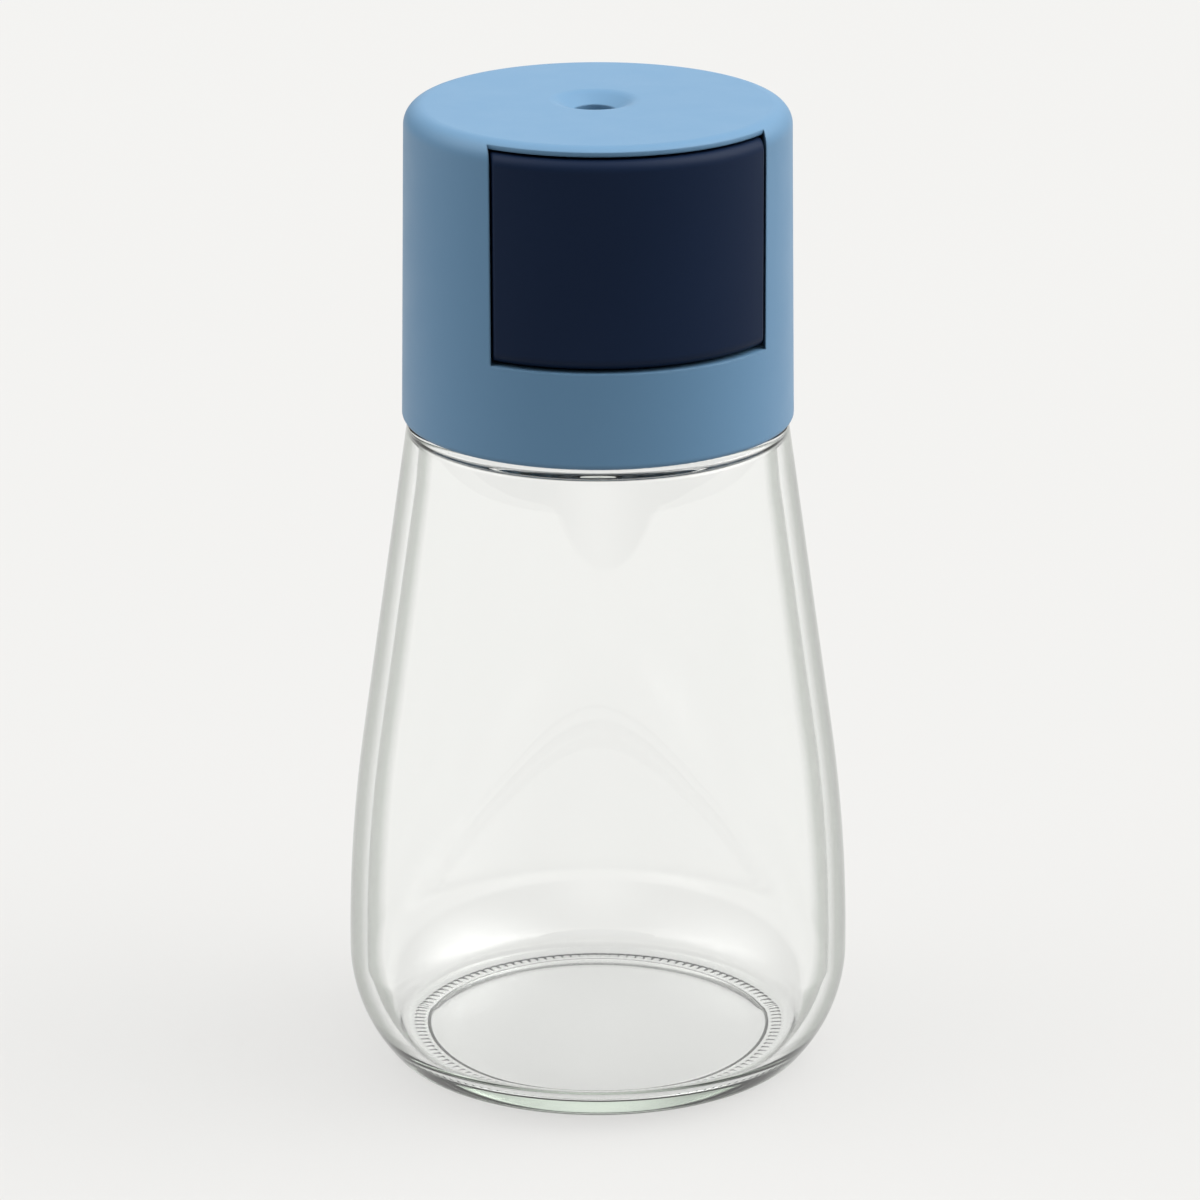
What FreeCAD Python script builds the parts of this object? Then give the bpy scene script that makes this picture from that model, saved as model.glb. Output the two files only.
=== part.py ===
import FreeCAD, Part
import math
import os
import Sketcher

# Push-button spice dispenser: a pear-shaped glass jar, a moulded cap that sits over its neck,
# and a curved button in the cap's side. Pressing the button slides it into the cap, and the
# measured dose leaves through the hole in the top.
# Frame: millimetres, +Z up, origin at the centre of the jar's foot, button facing -Y.

DRIVING = {
    # glass jar, outside
    "belly_radius": 32.5,
    "belly_height": 14.1,
    "lower_belly_curve": 19.7,
    "taper_vertex_height": 28.9,
    "foot_corner": 3.5,
    "foot_width": 2.4,
    "foot_depth": 0.8,
    "foot_edge": 0.3,
    "shoulder_radius": 24.3,
    "shoulder_height": 85.7,
    "shoulder_corner": 2.0,
    "shoulder_step": 2.8,
    "neck_height": 10.3,
    "neck_root": 0.6,
    # glass jar, inside
    "glass_wall": 2.2,
    "floor_thickness": 5.0,
    "floor_corner": 7.0,
    "neck_wall": 2.2,
    "lip_round": 0.8,
    "throat_round": 1.0,
    # cap
    "cap_height": 40.7,
    "cap_overhang": 0.7,
    "cap_draft": 0.55,
    "cap_top_round": 2.6,
    "cap_bottom_round": 0.7,
    "cap_wall": 1.8,
    "plate_thickness": 1.1,
    "deck_thickness": 1.8,
    # button and its window
    "window_half_angle": 44.4,
    "sill_height": 0.3,
    "window_lip": 0.95,
    "button_wall": 1.6,
    "button_round": 1.5,
    "button_side_round": 0.4,
    "stop_width": 1.0,
    "stop_thickness": 1.2,
    "stop_height": 18.0,
    # dosing hole in the top plate
    "hole_radius": 2.6,
    "hole_setback": 1.9,
    "dish_radius": 5.1,
    "dish_depth": 1.3,
    "dish_round": 3.0,
    "duct_bore": 3.2,
    "duct_wall": 0.8,
    # clearances
    "seat_clearance": 0.3,
    "neck_clearance": 0.3,
    "button_clearance": 0.35,
    "stop_clearance": 0.4,
}

DERIVED = {
    "neck_radius": "shoulder_radius - shoulder_step",
    "bore_radius": "neck_radius - neck_wall",
    "neck_top": "shoulder_height + neck_height",
    "shoulder_underside": "shoulder_height - glass_wall",
    "inner_belly_radius": "belly_radius - glass_wall",
    "cap_radius": "shoulder_radius + cap_overhang",
    "cap_top_radius": "cap_radius - cap_draft",
    "cap_bottom": "shoulder_height + seat_clearance",
    "cap_top": "cap_bottom + cap_height",
    "skirt_bore": "neck_radius + neck_clearance",
    "deck_bottom": "neck_top + seat_clearance",
    "deck_top": "deck_bottom + deck_thickness",
    "sill": "deck_top + sill_height",
    "chamber_radius": "cap_top_radius - cap_wall",
    "ceiling": "cap_top - plate_thickness",
    "plate_rim_radius": "cap_top_radius - window_lip",
    "window_half_width": "cap_radius * sin(window_half_angle)",
    "window_height": "ceiling - sill",
    "cut_depth": "cap_radius + cap_wall",
    "duct_radius": "duct_bore + duct_wall",
    "boss_radius": "dish_radius + duct_wall",
    "boss_bottom": "cap_top - dish_depth - plate_thickness",
    "dish_floor": "cap_top - dish_depth",
    "duct_bottom": "deck_bottom - plate_thickness",
    "above_cap": "cap_top + plate_thickness",
    "step_height": "above_cap - sill",
    "button_half_width": "window_half_width - button_clearance",
    "button_bottom": "sill + button_clearance",
    "button_height": "window_height - 2 * button_clearance",
    "button_top": "button_bottom + button_height",
    "stop_half_width": "button_half_width + stop_width",
    "stop_front": "sqrt(chamber_radius ^ 2 - stop_half_width ^ 2) - stop_clearance",
    "button_back": "stop_front - stop_thickness",
    "hollow_half_width": "button_half_width - button_wall",
    "hollow_bottom": "button_bottom + button_wall",
    "hollow_height": "button_height - 2 * button_wall",
    "hollow_radius": "cap_top_radius - button_wall",
    "trim_radius": "cut_depth + window_half_width",
    "stop_bottom": "button_bottom + (button_height - stop_height) / 2",
}

document = FreeCAD.newDocument("spice_dispenser")
sheet = document.addObject("Spreadsheet::Sheet", "sizes")


def fill_sheet():
    """Write every size into the sheet: plain numbers first, then what follows from them."""
    rows = [(name, str(value)) for name, value in DRIVING.items()]
    rows += [(name, "=" + formula) for name, formula in DERIVED.items()]
    for row, (name, content) in enumerate(rows, start=1):
        sheet.set("A%d" % row, name)
        sheet.set("B%d" % row, content)
        sheet.setAlias("B%d" % row, name)
    document.recompute()


def size(name):
    """The present value of a size in the sheet, negative for a name with a minus."""
    if name.startswith("-"):
        return -size(name[1:])
    return float(sheet.get(name))


class Drawing:
    """A sketch on one of a body's own planes, with its sizes bound to the sheet."""

    START, END, CENTRE = 1, 2, 3
    ORIGIN = (-1, 1)
    UP_AXIS = -2

    def __init__(self, body, name, plane, offset=None, backwards=False):
        self.sketch = body.newObject("Sketcher::SketchObject", name)
        base = [item for item in body.Origin.OriginFeatures if item.Role == plane][0]
        self.sketch.AttachmentSupport = [(base, "")]
        self.sketch.MapMode = "FlatFace"
        if offset:
            sign = "-" if backwards else ""
            self.sketch.setExpression("AttachmentOffset.Base.z", sign + "sizes." + offset)

    def line(self, start, end):
        """Add a straight edge and return its number."""
        ends = [FreeCAD.Vector(x, y, 0) for x, y in (start, end)]
        return self.sketch.addGeometry(Part.LineSegment(*ends), False)

    def arc(self, centre, radius, first_angle, last_angle):
        """Add an arc that runs anticlockwise between two angles, in degrees."""
        circle = Part.Circle(FreeCAD.Vector(centre[0], centre[1], 0), FreeCAD.Vector(0, 0, 1), radius)
        angles = (math.radians(first_angle), math.radians(last_angle))
        return self.sketch.addGeometry(Part.ArcOfCircle(circle, *angles), False)

    def rule(self, kind, *references):
        """Add a geometric constraint."""
        self.sketch.addConstraint(Sketcher.Constraint(kind, *references))

    def bind(self, name, kind, *references):
        """Add a dimension and bind it to the size of that name."""
        number = self.sketch.addConstraint(Sketcher.Constraint(kind, *references, size(name)))
        self.sketch.setExpression("Constraints[%d]" % number, "sizes." + name)

    def place(self, kind, name, edge, end):
        """Place an edge's end at a size from the origin, on the far side for a name with a minus."""
        if name.startswith("-"):
            self.bind(name[1:], kind, edge, end, *self.ORIGIN)
        else:
            self.bind(name, kind, *self.ORIGIN, edge, end)

    def right(self, name, edge, end):
        """Place an edge's end at a size to the right of the origin."""
        self.place("DistanceX", name, edge, end)

    def up(self, name, edge, end):
        """Place an edge's end at a size above the origin."""
        self.place("DistanceY", name, edge, end)

    def polygon(self, corners):
        """Draw a closed outline whose corners are pairs of size names, with None for the axis."""
        points = [tuple(size(name) if name else 0.0 for name in corner) for corner in corners]
        edges = [self.line(point, points[(n + 1) % len(points)]) for n, point in enumerate(points)]
        for number, edge in enumerate(edges):
            self.rule("Coincident", edges[number - 1], self.END, edge, self.START)
            across, height = corners[number]
            if across:
                self.right(across, edge, self.START)
            else:
                self.rule("PointOnObject", edge, self.START, self.UP_AXIS)
            if height:
                self.up(height, edge, self.START)
            else:
                self.rule("PointOnObject", edge, self.START, -1)
        return edges


def make_body(name):
    body = document.addObject("PartDesign::Body", name)
    body.Label = name
    body.Placement = FreeCAD.Placement()
    return body


def feature(body, kind, name, drawing, **sizes):
    """Add a PartDesign feature of a drawing; the named properties take their sizes from the sheet."""
    item = body.newObject("PartDesign::" + kind, name)
    item.Profile = drawing.sketch
    if kind in ("Revolution", "Groove"):
        item.ReferenceAxis = (drawing.sketch, ["V_Axis"])
        item.Angle = 360
    for quantity, alias in sizes.items():
        item.setExpression(quantity, "sizes." + alias)
    drawing.sketch.Visibility = False
    document.recompute()
    return item


def circles(shape, rings, setback=0.0):
    """Names of the full circles of a shape at the given pairs of radius and height."""
    found = []
    for number, edge in enumerate(shape.Edges, start=1):
        if not isinstance(edge.Curve, Part.Circle):
            continue
        centre = edge.Curve.Center
        for radius, height in rings:
            place = FreeCAD.Vector(0, setback, height)
            if abs(edge.Curve.Radius - radius) < 0.01 and (centre - place).Length < 0.01:
                found.append("Edge%d" % number)
    return found


def fillet(body, name, edges, radius_name):
    """Round the named edges of the body's tip."""
    base = body.Tip
    item = body.newObject("PartDesign::Fillet", name)
    item.Base = (base, edges)
    item.setExpression("Radius", "sizes." + radius_name)
    body.Tip = item
    document.recompute()
    return item


def draw_jar_section(body):
    """Half section of the jar: tangent arcs from the foot ring to the shoulder, and a straight neck."""
    drawing = Drawing(body, "jar_section", "XZ_Plane")
    start, end, centre = drawing.START, drawing.END, drawing.CENTRE
    belly_radius = size("belly_radius")
    belly_height = size("belly_height")
    wall = size("glass_wall")

    # the belly's upright tangent meets the straight taper at the taper's vertex
    vertex_height = size("taper_vertex_height")
    taper_rise = size("shoulder_height") - vertex_height
    taper = math.atan((belly_radius - size("shoulder_radius")) / taper_rise)
    tangent_length = vertex_height - belly_height
    upper_curve = tangent_length / math.tan(taper / 2)
    upper_centre = (belly_radius - upper_curve, belly_height)
    taper_foot = (belly_radius - tangent_length * math.sin(taper),
                  vertex_height + tangent_length * math.cos(taper))
    inner_taper_foot = (taper_foot[0] - wall * math.cos(taper), taper_foot[1] - wall * math.sin(taper))
    inner_drop = (size("shoulder_underside") - inner_taper_foot[1]) * math.tan(taper)
    inner_shoulder = inner_taper_foot[0] - inner_drop

    def corner_under(curve, radius, bottom):
        """Centre and contact angle of a corner arc that joins a level line to a belly arc."""
        middle = bottom + radius
        reach = math.sqrt((curve - radius) ** 2 - (belly_height - middle) ** 2)
        angle = math.degrees(math.atan2(middle - belly_height, reach))
        return (lower_centre[0] + reach, middle), angle

    lower_curve = size("lower_belly_curve")
    lower_centre = (belly_radius - lower_curve, belly_height)
    foot_centre, foot_angle = corner_under(lower_curve, size("foot_corner"), 0.0)
    floor_corner, floor_height = size("floor_corner"), size("floor_thickness")
    floor_centre, floor_angle = corner_under(lower_curve - wall, floor_corner, floor_height)
    foot_inside = foot_centre[0] - size("foot_width")
    taper_degrees = math.degrees(taper)

    foot_ceiling = drawing.line((0, size("foot_depth")), (foot_inside, size("foot_depth")))
    foot_step = drawing.line((foot_inside, size("foot_depth")), (foot_inside, 0))
    foot_ring = drawing.line((foot_inside, 0), (foot_centre[0], 0))
    foot_arc = drawing.arc(foot_centre, size("foot_corner"), -90, foot_angle)
    lower_arc = drawing.arc(lower_centre, lower_curve, foot_angle, 0)
    upper_arc = drawing.arc(upper_centre, upper_curve, 0, taper_degrees)
    taper_line = drawing.line(taper_foot, (size("shoulder_radius"), size("shoulder_height")))
    shoulder = drawing.line((size("shoulder_radius"), size("shoulder_height")),
                            (size("neck_radius"), size("shoulder_height")))
    neck = drawing.line((size("neck_radius"), size("shoulder_height")),
                        (size("neck_radius"), size("neck_top")))
    lip = drawing.line((size("neck_radius"), size("neck_top")), (size("bore_radius"), size("neck_top")))
    bore = drawing.line((size("bore_radius"), size("neck_top")),
                        (size("bore_radius"), size("shoulder_underside")))
    underside = drawing.line((size("bore_radius"), size("shoulder_underside")),
                             (inner_shoulder, size("shoulder_underside")))
    inner_taper = drawing.line((inner_shoulder, size("shoulder_underside")), inner_taper_foot)
    inner_upper = drawing.arc(upper_centre, upper_curve - wall, 0, taper_degrees)
    inner_lower = drawing.arc(lower_centre, lower_curve - wall, floor_angle, 0)
    floor_arc = drawing.arc(floor_centre, floor_corner, -90, floor_angle)
    floor = drawing.line((floor_centre[0], floor_height), (0, floor_height))
    middle = drawing.line((0, floor_height), (0, size("foot_depth")))
    upright = drawing.line((belly_radius, belly_height), (belly_radius, vertex_height))
    drawing.sketch.setConstruction(upright, True)

    for edge in (foot_ceiling, foot_ring, shoulder, lip, underside, floor):
        drawing.rule("Horizontal", edge)
    for edge in (foot_step, neck, bore, upright):
        drawing.rule("Vertical", edge)
    corners = [(foot_ceiling, foot_step), (foot_step, foot_ring), (taper_line, shoulder), (shoulder, neck),
               (neck, lip), (lip, bore), (bore, underside), (underside, inner_taper), (floor, middle),
               (middle, foot_ceiling), (lower_arc, upper_arc)]
    for first, second in corners:
        drawing.rule("Coincident", first, end, second, start)
    drawing.rule("Tangent", foot_ring, end, foot_arc, start)
    drawing.rule("Tangent", foot_arc, end, lower_arc, start)
    drawing.rule("Tangent", upper_arc, end, taper_line, start)
    drawing.rule("Tangent", inner_taper, end, inner_upper, end)
    drawing.rule("Tangent", floor_arc, end, inner_lower, start)
    drawing.rule("Tangent", floor, start, floor_arc, start)
    drawing.rule("Coincident", upright, start, upper_arc, start)
    drawing.rule("PointOnObject", upright, end, taper_line)
    drawing.rule("Coincident", inner_upper, centre, upper_arc, centre)
    drawing.rule("Coincident", inner_lower, centre, lower_arc, centre)
    drawing.rule("Coincident", inner_lower, end, inner_upper, start)
    drawing.rule("Horizontal", lower_arc, centre, lower_arc, end)
    drawing.rule("Horizontal", upper_arc, centre, upper_arc, start)
    drawing.rule("Horizontal", inner_upper, centre, inner_upper, start)
    drawing.rule("Parallel", inner_taper, taper_line)
    drawing.rule("PointOnObject", foot_ceiling, start, drawing.UP_AXIS)
    drawing.rule("PointOnObject", floor, end, drawing.UP_AXIS)

    drawing.up("foot_depth", foot_ceiling, start)
    drawing.rule("PointOnObject", foot_ring, start, -1)
    drawing.bind("foot_width", "DistanceX", foot_ring, start, foot_ring, end)
    drawing.bind("foot_corner", "Radius", foot_arc)
    drawing.bind("lower_belly_curve", "Radius", lower_arc)
    drawing.right("belly_radius", lower_arc, end)
    drawing.up("belly_height", lower_arc, end)
    drawing.up("taper_vertex_height", upright, end)
    drawing.right("shoulder_radius", taper_line, end)
    drawing.up("shoulder_height", taper_line, end)
    drawing.right("neck_radius", neck, end)
    drawing.up("neck_top", neck, end)
    drawing.right("bore_radius", bore, end)
    drawing.up("shoulder_underside", bore, end)
    drawing.right("inner_belly_radius", inner_upper, start)
    drawing.bind("floor_corner", "Radius", floor_arc)
    drawing.up("floor_thickness", floor, start)
    return drawing, foot_inside, inner_shoulder


def build_glass_jar():
    body = make_body("glass_jar")
    section, foot_inside, inner_shoulder = draw_jar_section(body)
    glass = feature(body, "Revolution", "jar_glass", section)
    lip_rings = [(size("neck_radius"), size("neck_top")), (size("bore_radius"), size("neck_top"))]
    glass = fillet(body, "lip_rounding", circles(glass.Shape, lip_rings), "lip_round")
    shoulder_ring = [(size("shoulder_radius"), size("shoulder_height"))]
    glass = fillet(body, "shoulder_rounding", circles(glass.Shape, shoulder_ring), "shoulder_corner")
    root_ring = [(size("neck_radius"), size("shoulder_height"))]
    glass = fillet(body, "neck_root_rounding", circles(glass.Shape, root_ring), "neck_root")
    throat_rings = [(size("bore_radius"), size("shoulder_underside")),
                    (inner_shoulder, size("shoulder_underside"))]
    glass = fillet(body, "throat_rounding", circles(glass.Shape, throat_rings), "throat_round")
    foot_rings = [(foot_inside, 0.0), (foot_inside, size("foot_depth"))]
    fillet(body, "foot_rounding", circles(glass.Shape, foot_rings), "foot_edge")
    return body


def draw_front_arc(drawing, radius_name, half_width_name, back_name):
    """Outline with an arc round the axis at its front, straight sides and a level back."""
    radius = size(radius_name)
    half_width = size(half_width_name)
    turn = math.degrees(math.acos(half_width / radius))
    reach = -math.sqrt(radius ** 2 - half_width ** 2)
    back = size(back_name) if back_name else 0.0
    front = drawing.arc((0, 0), radius, 180 + turn, 360 - turn)
    right_side = drawing.line((half_width, reach), (half_width, back))
    back_edge = drawing.line((half_width, back), (-half_width, back))
    left_side = drawing.line((-half_width, back), (-half_width, reach))
    start, end = drawing.START, drawing.END
    drawing.rule("Coincident", front, drawing.CENTRE, *drawing.ORIGIN)
    ring = [front, right_side, back_edge, left_side]
    for number, edge in enumerate(ring):
        drawing.rule("Coincident", ring[number - 1], end, edge, start)
    drawing.rule("Vertical", right_side)
    drawing.rule("Vertical", left_side)
    drawing.bind(radius_name, "Radius", front)
    drawing.right(half_width_name, right_side, end)
    drawing.right("-" + half_width_name, left_side, end)
    for edge in (right_side, back_edge):
        if back_name:
            drawing.up(back_name, edge, end)
        else:
            drawing.rule("PointOnObject", edge, end, -1)


def rectangle(drawing, left, right, bottom, top):
    return drawing.polygon([(left, bottom), (right, bottom), (right, top), (left, top)])


def build_cap():
    """Moulded cap: outer wall, top plate, deck over the jar's mouth and duct to the dished hole."""
    body = make_body("cap")
    section = Drawing(body, "cap_section", "XZ_Plane")
    section.polygon([
        ("skirt_bore", "cap_bottom"), ("cap_radius", "cap_bottom"), ("cap_top_radius", "cap_top"),
        (None, "cap_top"), (None, "ceiling"), ("chamber_radius", "ceiling"),
        ("chamber_radius", "deck_top"), (None, "deck_top"), (None, "deck_bottom"),
        ("skirt_bore", "deck_bottom"),
    ])
    shell = feature(body, "Revolution", "cap_shell", section)
    top_ring = [(size("cap_top_radius"), size("cap_top"))]
    shell = fillet(body, "cap_top_rounding", circles(shell.Shape, top_ring), "cap_top_round")
    bottom_ring = [(size("cap_radius"), size("cap_bottom"))]
    fillet(body, "cap_bottom_rounding", circles(shell.Shape, bottom_ring), "cap_bottom_round")

    duct = Drawing(body, "duct_section", "XZ_Plane", "hole_setback", backwards=True)
    duct.polygon([
        (None, "deck_bottom"), ("duct_radius", "deck_bottom"), ("duct_radius", "boss_bottom"),
        ("boss_radius", "ceiling"), (None, "ceiling"),
    ])
    feature(body, "Revolution", "duct", duct)
    hole = Drawing(body, "hole_section", "XZ_Plane", "hole_setback", backwards=True)
    hole.polygon([
        (None, "duct_bottom"), ("duct_bore", "duct_bottom"), ("duct_bore", "boss_bottom"),
        ("hole_radius", "boss_bottom"), ("hole_radius", "dish_floor"),
        ("dish_radius", "cap_top"), ("dish_radius", "above_cap"), (None, "above_cap"),
    ])
    dished = feature(body, "Groove", "dosing_hole", hole)
    dish_ring = [(size("dish_radius"), size("cap_top"))]
    dish_edges = circles(dished.Shape, dish_ring, size("hole_setback"))
    fillet(body, "dish_rounding", dish_edges, "dish_round")

    # the window's sides stand parallel to the push, so that the button can slide between them
    window = Drawing(body, "window_outline", "XZ_Plane", "button_back")
    rectangle(window, "-window_half_width", "window_half_width", "sill", "ceiling")
    opening = feature(body, "Pocket", "window", window, Length="cut_depth")
    opening.Reversed = True
    step = Drawing(body, "plate_step_outline", "XY_Plane", "sill")
    draw_front_arc(step, "plate_rim_radius", "window_half_width", "-cut_depth")
    cut = feature(body, "Pocket", "plate_step", step, Length="step_height")
    cut.Reversed = True
    document.recompute()
    return body


def draw_button_front(body):
    """Section of what is trimmed off the button's front: it follows the cap's drafted side."""
    drawing = Drawing(body, "button_front_section", "XZ_Plane")
    start, end = drawing.START, drawing.END
    rounding = size("button_round")
    lean = size("cap_draft") / size("cap_height")
    tilt = math.degrees(math.atan(lean))
    bottom, top, far = size("button_bottom"), size("button_top"), size("trim_radius")

    def side(height):
        return size("cap_radius") - lean * (height - size("cap_bottom"))

    def inset(height):
        """Distance from the axis to the centre of a corner arc at a height."""
        return side(height) - rounding / math.cos(math.radians(tilt))

    def contact(height):
        angle = math.radians(tilt)
        return (inset(height) + rounding * math.cos(angle), height + rounding * math.sin(angle))

    low, high = bottom + rounding, top - rounding
    low_arc = drawing.arc((inset(low), low), rounding, -90, tilt)
    face = drawing.line(contact(low), contact(high))
    high_arc = drawing.arc((inset(high), high), rounding, tilt, 90)
    top_edge = drawing.line((inset(high), top), (far, top))
    outer_edge = drawing.line((far, top), (far, bottom))
    bottom_edge = drawing.line((far, bottom), (inset(low), bottom))
    cap_side = drawing.line((size("cap_radius"), size("cap_bottom")),
                            (size("cap_top_radius"), size("cap_top")))
    drawing.sketch.setConstruction(cap_side, True)

    drawing.right("cap_radius", cap_side, start)
    drawing.up("cap_bottom", cap_side, start)
    drawing.right("cap_top_radius", cap_side, end)
    drawing.up("cap_top", cap_side, end)
    drawing.rule("Tangent", low_arc, end, face, start)
    drawing.rule("Tangent", face, end, high_arc, start)
    drawing.rule("Tangent", high_arc, end, top_edge, start)
    drawing.rule("Tangent", bottom_edge, end, low_arc, start)
    drawing.rule("Coincident", top_edge, end, outer_edge, start)
    drawing.rule("Coincident", outer_edge, end, bottom_edge, start)
    drawing.rule("PointOnObject", face, start, cap_side)
    drawing.rule("PointOnObject", face, end, cap_side)
    drawing.rule("Horizontal", top_edge)
    drawing.rule("Horizontal", bottom_edge)
    drawing.rule("Vertical", outer_edge)
    drawing.bind("button_round", "Radius", low_arc)
    drawing.bind("button_round", "Radius", high_arc)
    drawing.up("button_top", top_edge, start)
    drawing.up("button_bottom", bottom_edge, end)
    drawing.right("trim_radius", top_edge, end)
    return drawing


def side_edges(shape, half_width):
    """Names of the long upright edges where the button's front meets its flat sides."""
    found = []
    for number, edge in enumerate(shape.Edges, start=1):
        box = edge.BoundBox
        upright = abs(abs(box.Center.x) - half_width) < 0.01 and box.XLength < 0.01
        if upright and box.ZLength > size("button_height") / 2 and box.YMax < -size("stop_front"):
            found.append("Edge%d" % number)
    return found


def build_push_button():
    """Button: hollow block with parallel sides, a front flush with the cap, and two stops behind it."""
    body = make_body("push_button")
    plan = Drawing(body, "button_plan", "XY_Plane", "button_bottom")
    rectangle(plan, "-button_half_width", "button_half_width", "-cut_depth", "-button_back")
    feature(body, "Pad", "button_block", plan, Length="button_height")
    front = feature(body, "Groove", "button_front", draw_button_front(body))
    edges = side_edges(front.Shape, size("button_half_width"))
    fillet(body, "button_side_rounding", edges, "button_side_round")
    hollow = Drawing(body, "hollow_plan", "XY_Plane", "hollow_bottom")
    draw_front_arc(hollow, "hollow_radius", "hollow_half_width", None)
    inside = feature(body, "Pocket", "button_hollow", hollow, Length="hollow_height")
    inside.Reversed = True
    stops = Drawing(body, "stop_plan", "XY_Plane", "stop_bottom")
    rectangle(stops, "hollow_half_width", "stop_half_width", "-stop_front", "-button_back")
    rectangle(stops, "-stop_half_width", "-hollow_half_width", "-stop_front", "-button_back")
    feature(body, "Pad", "stops", stops, Length="stop_height")
    return body


def check_document():
    """Refuse to write anything while an object is in error or has no valid shape."""
    for item in document.Objects:
        if {"Invalid", "Error"} & set(item.State):
            raise RuntimeError("%s failed: %s" % (item.Name, item.State))
        if hasattr(item, "Shape") and item.TypeId.startswith("PartDesign::"):
            if item.Shape.isNull() or not item.Shape.isValid():
                raise RuntimeError("%s has no valid shape" % item.Name)


fill_sheet()
nodes = [build_glass_jar(), build_cap(), build_push_button()]
document.recompute()
check_document()
os.makedirs("parts", exist_ok=True)
for node in nodes:
    node.Shape.exportStep("parts/%s.step" % node.Label)
    print(node.Label, "volume %.0f mm3" % node.Shape.Volume, node.Shape.BoundBox)
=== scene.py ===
import math

import bpy
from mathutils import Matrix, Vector


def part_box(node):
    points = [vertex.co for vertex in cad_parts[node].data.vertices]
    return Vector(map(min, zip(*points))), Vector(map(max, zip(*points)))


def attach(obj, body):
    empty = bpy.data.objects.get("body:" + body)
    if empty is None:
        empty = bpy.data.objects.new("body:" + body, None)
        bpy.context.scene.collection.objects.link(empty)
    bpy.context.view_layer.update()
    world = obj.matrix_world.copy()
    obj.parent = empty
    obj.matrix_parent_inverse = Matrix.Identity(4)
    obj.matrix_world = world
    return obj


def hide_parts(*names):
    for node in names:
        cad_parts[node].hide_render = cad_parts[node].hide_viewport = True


# Push-button spice dispenser on a pale floor: the clear glass jar is turned here as one fine
# lathe with a knurled foot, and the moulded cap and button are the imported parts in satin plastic.
# Metres, +Z up, origin at the centre of the jar's foot, button facing -Y.

MM = 0.001

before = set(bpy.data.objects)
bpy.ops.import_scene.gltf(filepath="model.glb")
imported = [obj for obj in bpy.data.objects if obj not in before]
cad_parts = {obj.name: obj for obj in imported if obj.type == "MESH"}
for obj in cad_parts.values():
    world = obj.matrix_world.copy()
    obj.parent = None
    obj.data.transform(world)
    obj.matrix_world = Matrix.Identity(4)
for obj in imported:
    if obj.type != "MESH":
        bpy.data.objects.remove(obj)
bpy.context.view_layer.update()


# ---------------------------------------------------------------- material helpers

def new_material(name):
    """A node material with its shader and a function that adds nodes."""
    material = bpy.data.materials.new(name)
    material.use_nodes = True
    tree = material.node_tree
    shader = tree.nodes["Principled BSDF"]

    def node(kind, **settings):
        item = tree.nodes.new("ShaderNode" + kind)
        for key, value in settings.items():
            if key in item.inputs:
                item.inputs[key].default_value = value
            else:
                setattr(item, key, value)
        return item

    return material, tree, shader, node


def noise(tree, node, scale, detail, roughness=0.5, stretch=(1, 1, 1)):
    """Noise in object space, in metres; stretch gives the pattern's scale along each axis."""
    place = node("TexCoord")
    mapping = node("Mapping")
    mapping.inputs["Scale"].default_value = stretch
    pattern = node("TexNoise", Scale=scale, Detail=detail, Roughness=roughness)
    tree.links.new(place.outputs["Object"], mapping.inputs["Vector"])
    tree.links.new(mapping.outputs["Vector"], pattern.inputs["Vector"])
    return pattern.outputs["Fac"]


def ramp(tree, node, value, stops):
    """Map a value to the colours at the given stops."""
    item = node("ValToRGB")
    elements = item.color_ramp.elements
    while len(elements) < len(stops):
        elements.new(0.5)
    for element, (position, colour) in zip(elements, stops):
        element.position = position
        element.color = (*colour, 1)
    tree.links.new(value, item.inputs["Fac"])
    return item.outputs["Color"]


def grey(level):
    return (level, level, level)


def bump(tree, node, height, distance, strength, base=None):
    """Surface relief of a given depth in metres, over a base normal where one is given."""
    item = node("Bump", Strength=strength, Distance=distance)
    tree.links.new(height, item.inputs["Height"])
    if base is not None:
        tree.links.new(base, item.inputs["Normal"])
    return item.outputs["Normal"]


# ---------------------------------------------------------------- cap and button

# Noise scales per metre, from the broad drift of colour down to the spark-eroded grain.
DRIFT_SCALE, FLOW_SCALE, GLOSS_SCALE, GRAIN_SCALE = 45, 70, 160, 5200
FLOW_DEPTH, GRAIN_DEPTH = 0.00004, 0.000006
SOFT_EDGE = 0.35 * MM


def satin_plastic(name, light, dark, roughness, index):
    """Moulded plastic with a fine grain, faint colour drift, uneven gloss and softened edges."""
    material, tree, shader, node = new_material(name)
    drift = noise(tree, node, DRIFT_SCALE, 3)
    colour = ramp(tree, node, drift, [(0.3, dark), (0.7, light)])
    tree.links.new(colour, shader.inputs["Base Color"])
    gloss = noise(tree, node, GLOSS_SCALE, 4)
    low, high = roughness
    sheen = ramp(tree, node, gloss, [(0.25, grey(low)), (0.75, grey(high))])
    tree.links.new(sheen, shader.inputs["Roughness"])
    grain = noise(tree, node, GRAIN_SCALE, 2, 0.6)
    flow = noise(tree, node, FLOW_SCALE, 2)
    edges = node("Bevel", Radius=SOFT_EDGE, samples=4)
    soft = bump(tree, node, flow, FLOW_DEPTH, 0.5, edges.outputs["Normal"])
    tree.links.new(bump(tree, node, grain, GRAIN_DEPTH, 0.6, soft), shader.inputs["Normal"])
    shader.inputs["IOR"].default_value = index
    return material


cap_plastic = satin_plastic(
    "cap_plastic", light=(0.106, 0.214, 0.340), dark=(0.102, 0.208, 0.332),
    roughness=(0.40, 0.46), index=1.32)
button_plastic = satin_plastic(
    "button_plastic", light=(0.0074, 0.0156, 0.0395), dark=(0.0066, 0.0140, 0.0360),
    roughness=(0.36, 0.42), index=1.15)

for name, material in (("cap", cap_plastic), ("push_button", button_plastic)):
    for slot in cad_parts[name].material_slots:
        slot.material = material


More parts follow.
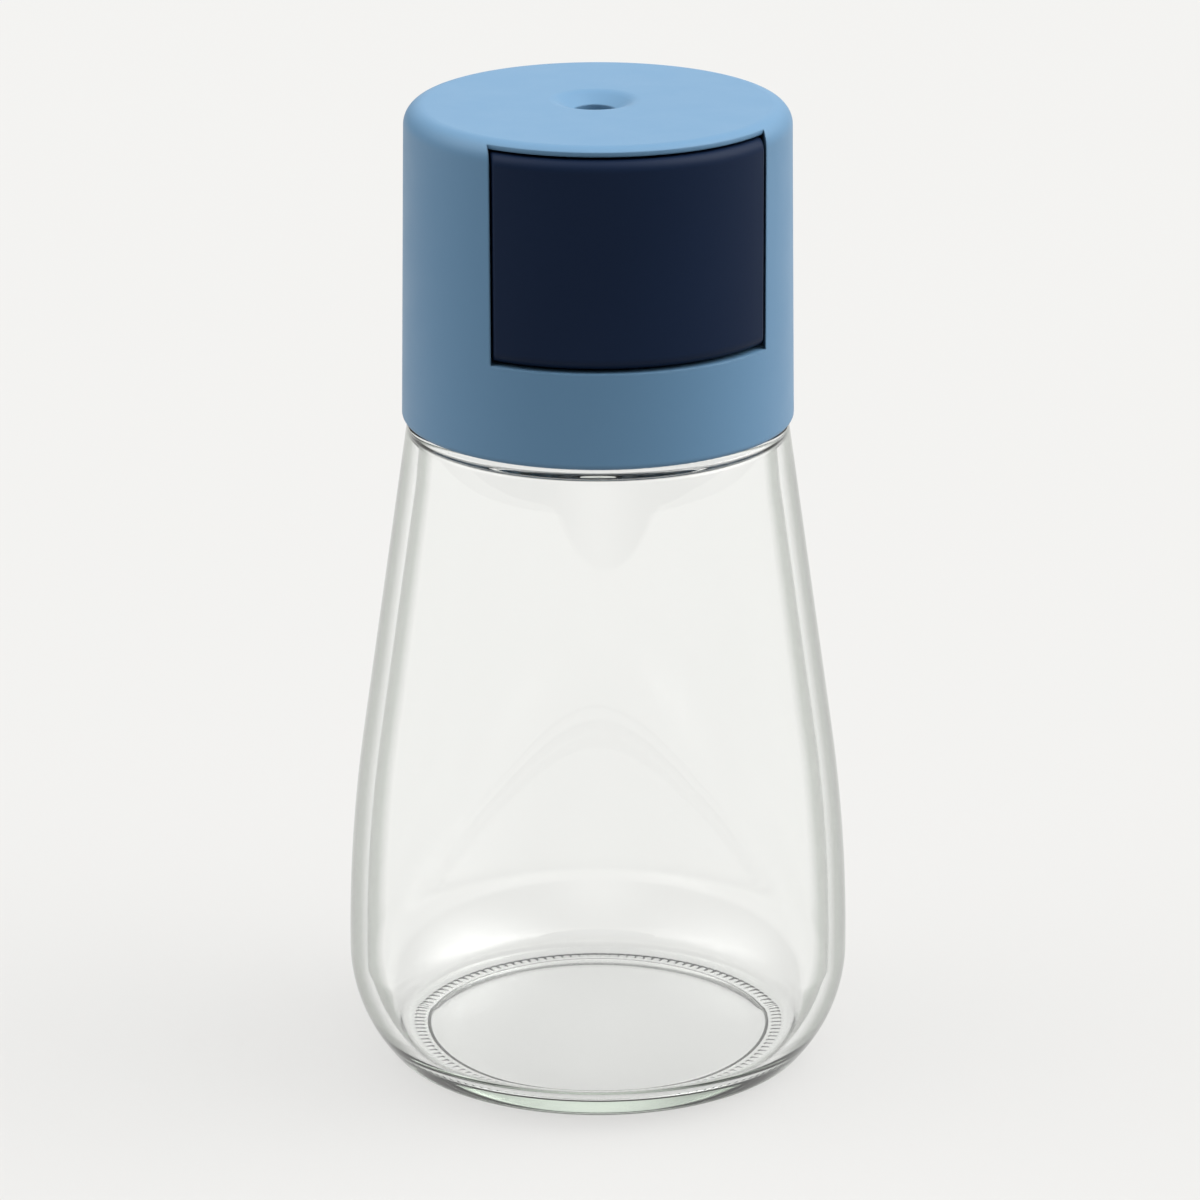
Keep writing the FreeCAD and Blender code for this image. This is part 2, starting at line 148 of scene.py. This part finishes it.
# ---------------------------------------------------------------- the jar's section

# Sizes in millimetres.
_, jar_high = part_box("glass_jar")
neck_top = jar_high.z / MM
belly_radius = 32.5
belly_height = 14.1
lower_curve = 19.7
vertex_height = 28.9
foot_corner = 3.5
foot_width = 2.4
foot_depth = 0.8
foot_edge = 0.3
shoulder_radius = 24.3
shoulder_height = 85.7
shoulder_thickness = 1.4
shoulder_corner = 1.0
neck_radius = 21.5
neck_round = 0.6
lip_round = 0.8
throat_round = 1.0
wall = 2.2
bore_radius = neck_radius - wall
floor_height = 3.3
floor_corner = 4.0


def arc(centre, radius, first, last, count):
    """Points on an arc round a centre, both ends included; angles in degrees."""
    turns = [math.radians(first + (last - first) * n / count) for n in range(count + 1)]
    return [(centre[0] + radius * math.cos(t), centre[1] + radius * math.sin(t)) for t in turns]


def rounded(before, corner, after, radius, count):
    """Points that round a corner of the outline with a tangent arc."""
    start, middle, end = Vector(before), Vector(corner), Vector(after)
    to_start, to_end = (start - middle).normalized(), (end - middle).normalized()
    half = math.acos(max(-1, min(1, to_start.dot(to_end)))) / 2
    centre = middle + (to_start + to_end).normalized() * radius / math.sin(half)
    first = middle + to_start * radius / math.tan(half) - centre
    last = middle + to_end * radius / math.tan(half) - centre
    turn = first.angle_signed(last)
    points = []
    for n in range(count + 1):
        t = -turn * n / count
        points.append((centre.x + first.x * math.cos(t) - first.y * math.sin(t),
                       centre.y + first.x * math.sin(t) + first.y * math.cos(t)))
    return points


def divided(first, last, count):
    """Points strictly between two ends, evenly spaced."""
    return [(first[0] + (last[0] - first[0]) * n / (count + 1),
             first[1] + (last[1] - first[1]) * n / (count + 1)) for n in range(1, count + 1)]


def belly_corner(curve, radius, bottom):
    """Centre and contact angle of the corner arc between a level line and the lower belly."""
    middle = bottom + radius
    reach = math.sqrt((curve - radius) ** 2 - (belly_height - middle) ** 2)
    angle = math.degrees(math.atan2(middle - belly_height, reach))
    return (belly_radius - lower_curve + reach, middle), angle


def jar_outline():
    """Half section of the jar from the middle of its foot, up the outside and down the inside.

    The last number in each call of arc, rounded and divided is its count of steps or points.
    """
    taper = math.atan((belly_radius - shoulder_radius) / (shoulder_height - vertex_height))
    taper_degrees = math.degrees(taper)
    upper_curve = (vertex_height - belly_height) / math.tan(taper / 2)
    upper_centre = (belly_radius - upper_curve, belly_height)
    lower_centre = (belly_radius - lower_curve, belly_height)
    foot_centre, foot_angle = belly_corner(lower_curve, foot_corner, 0)
    floor_centre, floor_angle = belly_corner(lower_curve - wall, floor_corner, floor_height)
    foot_inside = foot_centre[0] - foot_width
    foot_middle, recess_corner = (0, foot_depth), (foot_inside, foot_depth)
    ring_corner, ring_end = (foot_inside, 0), (foot_centre[0], 0)
    outside = [foot_middle] + divided(foot_middle, recess_corner, 5)
    outside += rounded(foot_middle, recess_corner, ring_corner, foot_edge, 4)
    outside += rounded(recess_corner, ring_corner, ring_end, foot_edge, 4)
    outside += divided((foot_inside + foot_edge, 0), ring_end, 10)
    outside += arc(foot_centre, foot_corner, -90, foot_angle, 12)
    outside += arc(lower_centre, lower_curve, foot_angle, 0, 24)[1:]
    outside += arc(upper_centre, upper_curve, 0, taper_degrees, 14)[1:]
    taper_foot = outside[-1]
    shoulder = (shoulder_radius, shoulder_height)
    neck_root = (neck_radius, shoulder_height)
    neck_rim, bore_rim = (neck_radius, neck_top), (bore_radius, neck_top)
    shoulder_arc = rounded(taper_foot, shoulder, neck_root, shoulder_corner, 10)
    outside += divided(taper_foot, shoulder_arc[0], 10) + shoulder_arc
    outside += rounded(shoulder, neck_root, neck_rim, neck_round, 5)
    outside += rounded(neck_root, neck_rim, bore_rim, lip_round, 6)
    slope = (math.cos(taper), math.sin(taper))
    inner_foot = (taper_foot[0] - wall * slope[0], taper_foot[1] - wall * slope[1])
    underside = shoulder_height - shoulder_thickness
    inner_shoulder = (inner_foot[0] - (underside - inner_foot[1]) * math.tan(taper), underside)
    throat = (bore_radius, underside)
    inside = rounded(neck_rim, bore_rim, throat, lip_round, 6)
    inside += rounded(bore_rim, throat, inner_shoulder, throat_round, 6)
    inner_arc = rounded(throat, inner_shoulder, inner_foot, shoulder_corner, 6)
    inside += inner_arc + divided(inner_arc[-1], inner_foot, 10)
    inside += arc(upper_centre, upper_curve - wall, taper_degrees, 0, 14)
    inside += arc(lower_centre, lower_curve - wall, 0, floor_angle, 22)[1:]
    inside += arc(floor_centre, floor_corner, floor_angle, -90, 14)[1:]
    floor_middle = (0, floor_height)
    inside += divided((floor_centre[0], floor_height), floor_middle, 6) + [floor_middle]
    return outside + inside


# ---------------------------------------------------------------- glass jar

# Radial bars pressed into the ring that the jar stands on: how many, and the steps of one bar as
# shares of its depth. Sizes in millimetres; the bars fade out towards both edges of the ring.
KNURLS = 126
KNURL_STEPS = (0, 0.5, 1, 0.5)
KNURL_DEPTH = 0.16
KNURL_FADE = 0.3
ring_inside = 23.3
ring_outside = 24.9
ring_height = 0.5


def make_jar():
    """Lathe of the section, with the knurls in the ring that it stands on."""
    outline = jar_outline()
    turns = KNURLS * len(KNURL_STEPS)
    vertices = []
    for radius, height in outline[1:-1]:
        on_ring = ring_inside < radius < ring_outside and height < ring_height
        edge = min(1, (radius - ring_inside) / KNURL_FADE, (ring_outside - radius) / KNURL_FADE)
        for n in range(turns):
            angle = 2 * math.pi * n / turns
            step = KNURL_STEPS[n % len(KNURL_STEPS)]
            groove = KNURL_DEPTH * edge * step if on_ring else 0
            vertices.append((radius * math.cos(angle) * MM, radius * math.sin(angle) * MM,
                             (height + groove) * MM))
    faces = []
    for row in range(len(outline) - 3):
        for n in range(turns):
            here, there = row * turns + n, row * turns + (n + 1) % turns
            faces.append((here, there, there + turns, here + turns))
    bottom, top = len(vertices), len(vertices) + 1
    vertices += [(0, 0, outline[0][1] * MM), (0, 0, outline[-1][1] * MM)]
    last = (len(outline) - 3) * turns
    for n in range(turns):
        after = (n + 1) % turns
        faces.append((bottom, after, n))
        faces.append((top, last + n, last + after))
    mesh = bpy.data.meshes.new("jar_glass")
    mesh.from_pydata(vertices, [], faces)
    mesh.validate()
    mesh.polygons.foreach_set("use_smooth", [True] * len(mesh.polygons))
    jar = bpy.data.objects.new("jar_glass", mesh)
    bpy.context.scene.collection.objects.link(jar)
    return jar


def clear_glass():
    """Pressed soda-lime glass with faint waves from the mould.

    Its grey green shows a little through its depth. Where the surface is seen edge on, its colour
    darkens to a grey-green near black: painted shade for the dark room mirrored at the glass's
    edges.
    """
    material, tree, shader, node = new_material("clear_glass")
    slant = node("LayerWeight", Blend=0.5)
    # Painted shade: the colour goes dark grey green towards the edges seen edge on, standing in for
    # the dark room that the glass mirrors there.
    painted_edge_shade = ramp(tree, node, slant.outputs["Facing"],
                [(0.62, grey(1.0)), (0.73, (0.34, 0.37, 0.335)), (0.85, (0.14, 0.16, 0.135)),
                 (1.0, (0.05, 0.06, 0.05))])
    tree.links.new(painted_edge_shade, shader.inputs["Base Color"])
    shader.inputs["Transmission Weight"].default_value = 1
    shader.inputs["IOR"].default_value = 1.5
    shader.inputs["Roughness"].default_value = 0
    waves = noise(tree, node, 60, 1, 0.4, (1, 1, 0.35))
    tree.links.new(bump(tree, node, waves, 0.0002, 0.15), shader.inputs["Normal"])
    depth = node("VolumeAbsorption", Density=35)
    depth.inputs["Color"].default_value = (0.87, 0.925, 0.865, 1)
    tree.links.new(depth.outputs["Volume"], tree.nodes["Material Output"].inputs["Volume"])
    return material


jar = make_jar()
jar.data.materials.append(clear_glass())
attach(jar, "shaker")
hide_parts("glass_jar")


# ---------------------------------------------------------------- floor and light card

def rectangle(low, high, level):
    """Corners of a level rectangle, counter-clockwise from above."""
    return [(low[0], low[1], level), (high[0], low[1], level),
            (high[0], high[1], level), (low[0], high[1], level)]


def pale_floor():
    """Matt off-white studio floor that also glows, so the shadows on it stay faint."""
    material, tree, shader, node = new_material("pale_floor")
    drift = noise(tree, node, 3, 3)
    colour = ramp(tree, node, drift, [(0.3, (0.119, 0.118, 0.116)), (0.7, (0.122, 0.121, 0.119))])
    tree.links.new(colour, shader.inputs["Base Color"])
    shader.inputs["Emission Color"].default_value = (1, 0.995, 0.98, 1)
    shader.inputs["Emission Strength"].default_value = 0.635
    shader.inputs["Roughness"].default_value = 0.9
    shader.inputs["Specular IOR Level"].default_value = 0.1
    return material


def make_floor(half_side, level):
    mesh = bpy.data.meshes.new("floor")
    corners = rectangle((-half_side, -half_side), (half_side, half_side), level)
    mesh.from_pydata(corners, [], [(0, 1, 2, 3)])
    floor = bpy.data.objects.new("floor", mesh)
    bpy.context.scene.collection.objects.link(floor)
    mesh.materials.append(pale_floor())


# Brightness of the room as the open floor sees it.
ROOM_LEVEL = 2.18
ROOM_COLOUR = (1, 1, 0.99, 1)
CARD_TONE = 0.01
CARD_THICKNESS = 0.0002


def front_card(low, high, level):
    """Card on the floor before the part: its black top sends less light up to the part's front.

    Its underside glows as bright as the room, so the floor below it keeps its tone. Only soft
    shading meets the card: neither the camera nor the glass shows it.
    """
    mesh = bpy.data.meshes.new("front_card")
    corners = rectangle(low, high, level) + rectangle(low, high, level + CARD_THICKNESS)
    mesh.from_pydata(corners, [], [(3, 2, 1, 0), (4, 5, 6, 7)])
    card = bpy.data.objects.new("front_card", mesh)
    bpy.context.scene.collection.objects.link(card)
    for name, strength in (("card_white", ROOM_LEVEL), ("card_black", 0)):
        material, tree, shader, node = new_material(name)
        shader.inputs["Base Color"].default_value = (*grey(CARD_TONE), 1)
        shader.inputs["Roughness"].default_value = 0.9
        shader.inputs["Emission Color"].default_value = ROOM_COLOUR
        shader.inputs["Emission Strength"].default_value = strength
        material.cycles.emission_sampling = "NONE"
        mesh.materials.append(material)
    mesh.polygons[1].material_index = 1
    card.visible_camera = False
    card.visible_glossy = False
    card.visible_transmission = False


make_floor(half_side=2.5, level=-0.00005)
front_card(low=(-0.9, -1.2), high=(0.6, -0.16), level=0.001)


# ---------------------------------------------------------------- light of the room

# Each glow: heading and rise in degrees, strength, tightness. Heading 0 is +Y and 90 is +X; the
# camera looks along heading 12.6.
GLOWS = (
    (0, 90, 1.70, 4),       # ceiling
    (102.6, 45, 6.8, 8),    # main light, high on the camera's right
    (282.6, 45, 3.4, 8),    # second light, high on its left
    (12.6, 15, 0.97, 12),   # low behind the part
    (57.6, 15, 0.58, 12),   # low behind it on the right
    (327.6, 15, 0.10, 12),  # low behind it on the left
    (192.6, 6, 0.75, 14),   # horizon behind the camera, which the glass mirrors
)

world = bpy.data.worlds.new("studio")
world.use_nodes = True
tree = world.node_tree
background = tree.nodes["Background"]


def world_node(kind, **settings):
    item = tree.nodes.new("ShaderNode" + kind)
    for key, value in settings.items():
        setattr(item, key, value)
    return item


def with_number(operation, value, number):
    """A value put through one sum with a fixed number."""
    item = world_node("Math", operation=operation)
    item.inputs[1].default_value = number
    tree.links.new(value, item.inputs[0])
    return item.outputs["Value"]


def glow(heading, rise, strength, tightness):
    """Soft brightness of the room round one direction."""
    turn, lift = math.radians(heading), math.radians(rise)
    toward = (math.sin(turn) * math.cos(lift), math.cos(turn) * math.cos(lift), math.sin(lift))
    facing = world_node("VectorMath", operation="DOT_PRODUCT")
    tree.links.new(direction.outputs["Generated"], facing.inputs[0])
    facing.inputs[1].default_value = toward
    front = with_number("MAXIMUM", facing.outputs["Value"], 0)
    falloff = with_number("POWER", front, tightness)
    return with_number("MULTIPLY", falloff, strength)


direction = world_node("TexCoord")
total = glow(*GLOWS[0])
for settings in GLOWS[1:]:
    lobe = glow(*settings)
    add = world_node("Math", operation="ADD")
    tree.links.new(total, add.inputs[0])
    tree.links.new(lobe, add.inputs[1])
    total = add.outputs["Value"]
tree.links.new(total, background.inputs["Strength"])
background.inputs["Color"].default_value = ROOM_COLOUR
bpy.context.scene.world = world
bpy.context.scene.view_settings.view_transform = "Standard"


# ---------------------------------------------------------------- camera

def place_camera(azimuth, elevation, distance, aim_height, aside, lens, sensor):
    """Camera round the object: azimuth 0 looks along +Y, and aside moves the aim to the right."""
    turn, rise = math.radians(azimuth), math.radians(elevation)
    back = Vector((math.sin(turn) * math.cos(rise), -math.cos(turn) * math.cos(rise),
                   math.sin(rise)))
    right = Vector((math.cos(turn), math.sin(turn), 0))
    aim = Vector((0, 0, aim_height)) + right * aside
    data = bpy.data.cameras.new("camera")
    data.lens = lens
    data.sensor_width = sensor
    camera = bpy.data.objects.new("camera", data)
    camera.location = aim + back * distance
    camera.rotation_euler = (-back).to_track_quat("-Z", "Y").to_euler()
    bpy.context.scene.collection.objects.link(camera)
    bpy.context.scene.camera = camera


place_camera(azimuth=-12.6, elevation=18.37, distance=0.78, aim_height=0.06096, aside=0.00026,
             lens=181.5, sensor=36)
